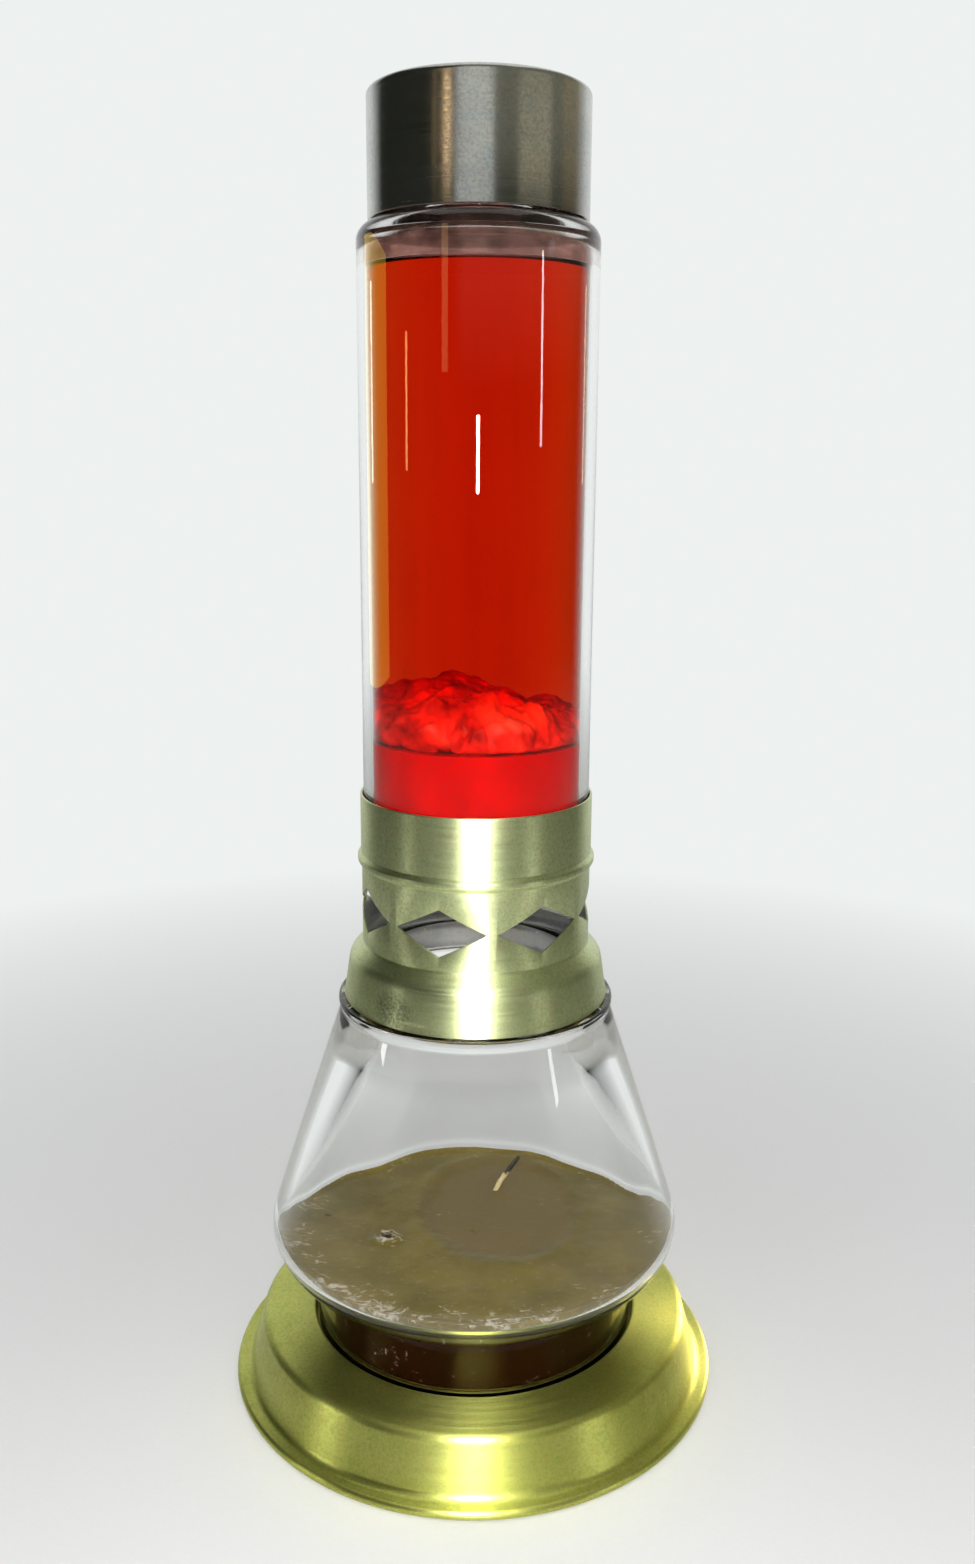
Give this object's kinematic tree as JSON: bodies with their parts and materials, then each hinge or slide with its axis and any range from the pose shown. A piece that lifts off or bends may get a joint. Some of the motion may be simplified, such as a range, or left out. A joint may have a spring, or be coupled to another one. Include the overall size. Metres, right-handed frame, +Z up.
{
  "type": "lava lamp",
  "caption": "Candle-heated lava lamp: spun base, conical glass flask with a candle, vented collar, tall glass bottle of red liquid and wax, and a metal cap.",
  "frame": {"origin": "middle of the ring that the base stands on, at table height", "axes": "+Z up along the lamp's axis; -Y is the front; +X is to the right seen from the front"},
  "size_m": [0.137, 0.137, 0.3405],
  "materials": {
    "gold_base": "satin, spun, pale greenish gold anodised",
    "gold_collar": "satin, brushed, pale gold outside and bare inside",
    "flask_glass": "clear, glossy, thick",
    "bottle_glass": "clear, glossy",
    "red_liquid": "clear orange-red liquid",
    "red_wax": "set wax, soft sheen",
    "candle_wax": "brown-grey candle wax, soft sheen",
    "wick_cotton": "waxed cotton, burnt tip",
    "plated_steel": "plated sheet and wire",
    "liner_plastic": "soft sealing disc",
    "cap_steel": "polished with light wear"
  },
  "bodies": {
    "base": {"base_shell": "gold_base"},
    "flask": {"glass_flask": "flask_glass", "candle_wax": "candle_wax", "candle_wick": "wick_cotton", "wick_tab": "plated_steel"},
    "collar": {"gallery_collar": "gold_collar", "bottle_seat_ring": "plated_steel"},
    "bottle": {"glass_bottle": "bottle_glass", "lamp_liquid": "red_liquid", "lava_wax": "red_wax", "wax_lump": "red_wax", "wax_coil": "plated_steel", "closure_liner": "liner_plastic", "closure_crown": "plated_steel"},
    "cap": {"top_cap": "cap_steel"}
  },
  "joints": [
    {"name": "flask_lift", "type": "slide", "parent": "base", "child": "flask", "axis": [0, 0, 1], "range_m": [0, 0.02]},
    {"name": "collar_lift", "type": "slide", "parent": "flask", "child": "collar", "axis": [0, 0, 1], "range_m": [0, 0.025]},
    {"name": "bottle_lift", "type": "slide", "parent": "collar", "child": "bottle", "axis": [0, 0, 1], "range_m": [0, 0.03]},
    {"name": "cap_lift", "type": "slide", "parent": "bottle", "child": "cap", "axis": [0, 0, 1], "range_m": [0, 0.04]}
  ]
}
